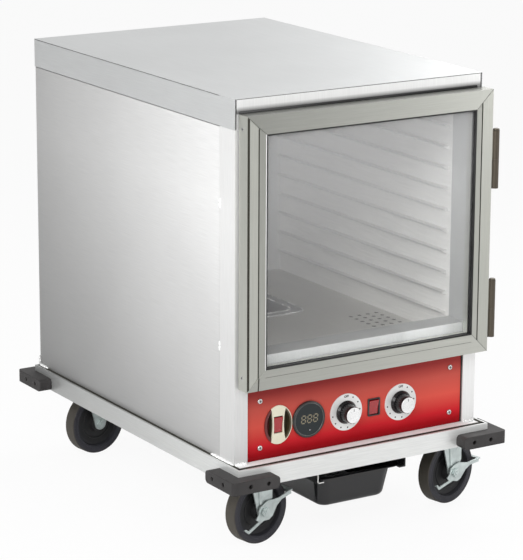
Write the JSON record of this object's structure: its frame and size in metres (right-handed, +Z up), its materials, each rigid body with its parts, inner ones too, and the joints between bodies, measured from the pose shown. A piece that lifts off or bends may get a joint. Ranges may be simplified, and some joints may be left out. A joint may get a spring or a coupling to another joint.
{
  "type": "heated holding cabinet",
  "caption": "Half-height insulated food warming cabinet on swivel casters, with a framed clear door, a red control panel below it and a drip pan under the base.",
  "frame": {"origin": "on the floor, under the middle of the whole outline with the casters parked as modelled", "axes": "X to the right seen from the door side, Y from the door to the back, Z up; the door faces -Y"},
  "size_m": [0.6242, 0.842, 0.844],
  "materials": {
    "skin": "satin, brushed lengthways",
    "post": "satin",
    "liner": "brushed",
    "ledge": "satin",
    "rail": "satin extrusion",
    "door_frame": "satin anodised",
    "window": "clear sheet",
    "gasket": "matt black",
    "seal": "matt dark grey",
    "red_paint": "semi-gloss red",
    "cream": "satin moulding",
    "black": "matt black",
    "rocker_red": "glossy red",
    "smoked": "smoked lens",
    "dial": "silver, printed plain marks",
    "zinc": "bright zinc plate",
    "steel": "satin",
    "hinge": "satin",
    "tyre": "dark grey moulded",
    "bumper": "matt dark grey",
    "pan_black": "gloss black enamel",
    "pan_steel": "satin",
    "wool": "glass wool",
    "motor": "semi-matt",
    "element": "heat-darkened"
  },
  "bodies": {
    "cabinet": {"top_cap": "skin", "left_side_panel": "skin", "right_side_panel": "skin", "back_panel": "skin", "front_frame": "post", "side_liners": "liner", "pan_ledges": "ledge", "floor_liner": "liner", "back_liner": "liner", "top_liner": "liner", "insulation": "wool", "base_rails": "rail", "base_deck": "rail", "caster_channels": "rail", "caster_plates": "zinc", "caster_bolts": "zinc", "corner_bumpers": "bumper", "bumper_screws": "steel", "control_panel": "red_paint", "panel_screws": "steel", "switch_guard": "cream", "mode_switch_bezel": "black", "thermometer_case": "black", "thermometer_lens": "smoked", "dial_plates": "dial", "thermostats": "black", "blower_motor": "motor", "heating_elements": "element", "element_plates": "steel", "terminal_block": "black", "power_inlet": "black", "drip_pan_runners": "pan_black", "hinge_body_leaves": "hinge", "hinge_pins": "hinge", "hinge_screws": "steel"},
    "door": {"door_stiles": "door_frame", "door_rails": "door_frame", "door_window": "window", "window_gasket": "gasket", "door_seal": "seal", "door_screws": "steel", "hinge_door_leaves": "hinge"},
    "drip_pan_body": {"drip_pan": "pan_black"},
    "water_pan_body": {"water_pan": "pan_steel"},
    "power_rocker_body": {"power_rocker": "rocker_red"},
    "mode_rocker_body": {"mode_rocker": "rocker_red"},
    "heat_knob_body": {"heat_knob": "black"},
    "humidity_knob_body": {"humidity_knob": "black"},
    "fan_body": {"fan_wheel": "steel"},
    "swivel_front_left": {"fork_front_left": "zinc"},
    "roller_front_left": {"wheel_front_left": "tyre"},
    "brake_front_left": {"brake_lever_front_left": "zinc"},
    "swivel_front_right": {"fork_front_right": "zinc"},
    "roller_front_right": {"wheel_front_right": "tyre"},
    "brake_front_right": {"brake_lever_front_right": "zinc"},
    "swivel_rear_left": {"fork_rear_left": "zinc"},
    "roller_rear_left": {"wheel_rear_left": "tyre"},
    "swivel_rear_right": {"fork_rear_right": "zinc"},
    "roller_rear_right": {"wheel_rear_right": "tyre"}
  },
  "joints": [
    {"name": "door_hinge", "type": "hinge", "parent": "cabinet", "child": "door", "pos_m": [0.26835, -0.394, 0.4], "axis": [0, 0, 1], "range_deg": [0, 180]},
    {"name": "drip_pan_slide", "type": "slide", "parent": "cabinet", "child": "drip_pan_body", "axis": [0, -1, 0], "range_m": [0, 0.3]},
    {"name": "water_pan_lift", "type": "slide", "parent": "cabinet", "child": "water_pan_body", "axis": [0, 0, 1], "range_m": [0, 0.15]},
    {"name": "power_rocker_tilt", "type": "hinge", "parent": "cabinet", "child": "power_rocker_body", "pos_m": [-0.18105, -0.3562, 0.238], "axis": [1, 0, 0], "range_deg": [-18, 0]},
    {"name": "mode_rocker_tilt", "type": "hinge", "parent": "cabinet", "child": "mode_rocker_body", "pos_m": [0.02795, -0.3566, 0.238], "axis": [1, 0, 0], "range_deg": [-18, 0]},
    {"name": "heat_knob_turn", "type": "hinge", "parent": "cabinet", "child": "heat_knob_body", "pos_m": [-0.03365, -0.37, 0.238], "axis": [0, 1, 0], "range_deg": [0, 300]},
    {"name": "humidity_knob_turn", "type": "hinge", "parent": "cabinet", "child": "humidity_knob_body", "pos_m": [0.08775, -0.37, 0.238], "axis": [0, 1, 0], "range_deg": [0, 300]},
    {"name": "fan_spin", "type": "hinge", "parent": "cabinet", "child": "fan_body", "pos_m": [0.17495, -0.146, 0.31], "axis": [0, 0, 1], "continuous": true},
    {"name": "swivel_front_left_turn", "type": "hinge", "parent": "cabinet", "child": "swivel_front_left", "pos_m": [-0.22505, -0.311, 0.147], "axis": [0, 0, 1], "continuous": true},
    {"name": "wheel_front_left_spin", "type": "hinge", "parent": "swivel_front_left", "child": "roller_front_left", "pos_m": [-0.19344, -0.30599, 0.0635], "axis": [-0.1564, 0.9877, 0], "continuous": true},
    {"name": "brake_front_left_tilt", "type": "hinge", "parent": "swivel_front_left", "child": "brake_front_left", "pos_m": [-0.19344, -0.30599, 0.0635], "axis": [0.1564, -0.9877, 0], "range_deg": [-20, 0]},
    {"name": "swivel_front_right_turn", "type": "hinge", "parent": "cabinet", "child": "swivel_front_right", "pos_m": [0.20495, -0.311, 0.147], "axis": [0, 0, 1], "continuous": true},
    {"name": "wheel_front_right_spin", "type": "hinge", "parent": "swivel_front_right", "child": "roller_front_right", "pos_m": [0.23625, -0.30435, 0.0635], "axis": [-0.2079, 0.9781, 0], "continuous": true},
    {"name": "brake_front_right_tilt", "type": "hinge", "parent": "swivel_front_right", "child": "brake_front_right", "pos_m": [0.23625, -0.30435, 0.0635], "axis": [0.2079, -0.9781, 0], "range_deg": [-7, 13]},
    {"name": "swivel_rear_left_turn", "type": "hinge", "parent": "cabinet", "child": "swivel_rear_left", "pos_m": [-0.22505, 0.311, 0.147], "axis": [0, 0, 1], "continuous": true},
    {"name": "wheel_rear_left_spin", "type": "hinge", "parent": "swivel_rear_left", "child": "roller_rear_left", "pos_m": [-0.19336, 0.31545, 0.0635], "axis": [-0.1392, 0.9903, 0], "continuous": true},
    {"name": "swivel_rear_right_turn", "type": "hinge", "parent": "cabinet", "child": "swivel_rear_right", "pos_m": [0.20495, 0.311, 0.147], "axis": [0, 0, 1], "continuous": true},
    {"name": "wheel_rear_right_spin", "type": "hinge", "parent": "swivel_rear_right", "child": "roller_rear_right", "pos_m": [0.23502, 0.32194, 0.0635], "axis": [-0.342, 0.9397, 0], "continuous": true}
  ]
}
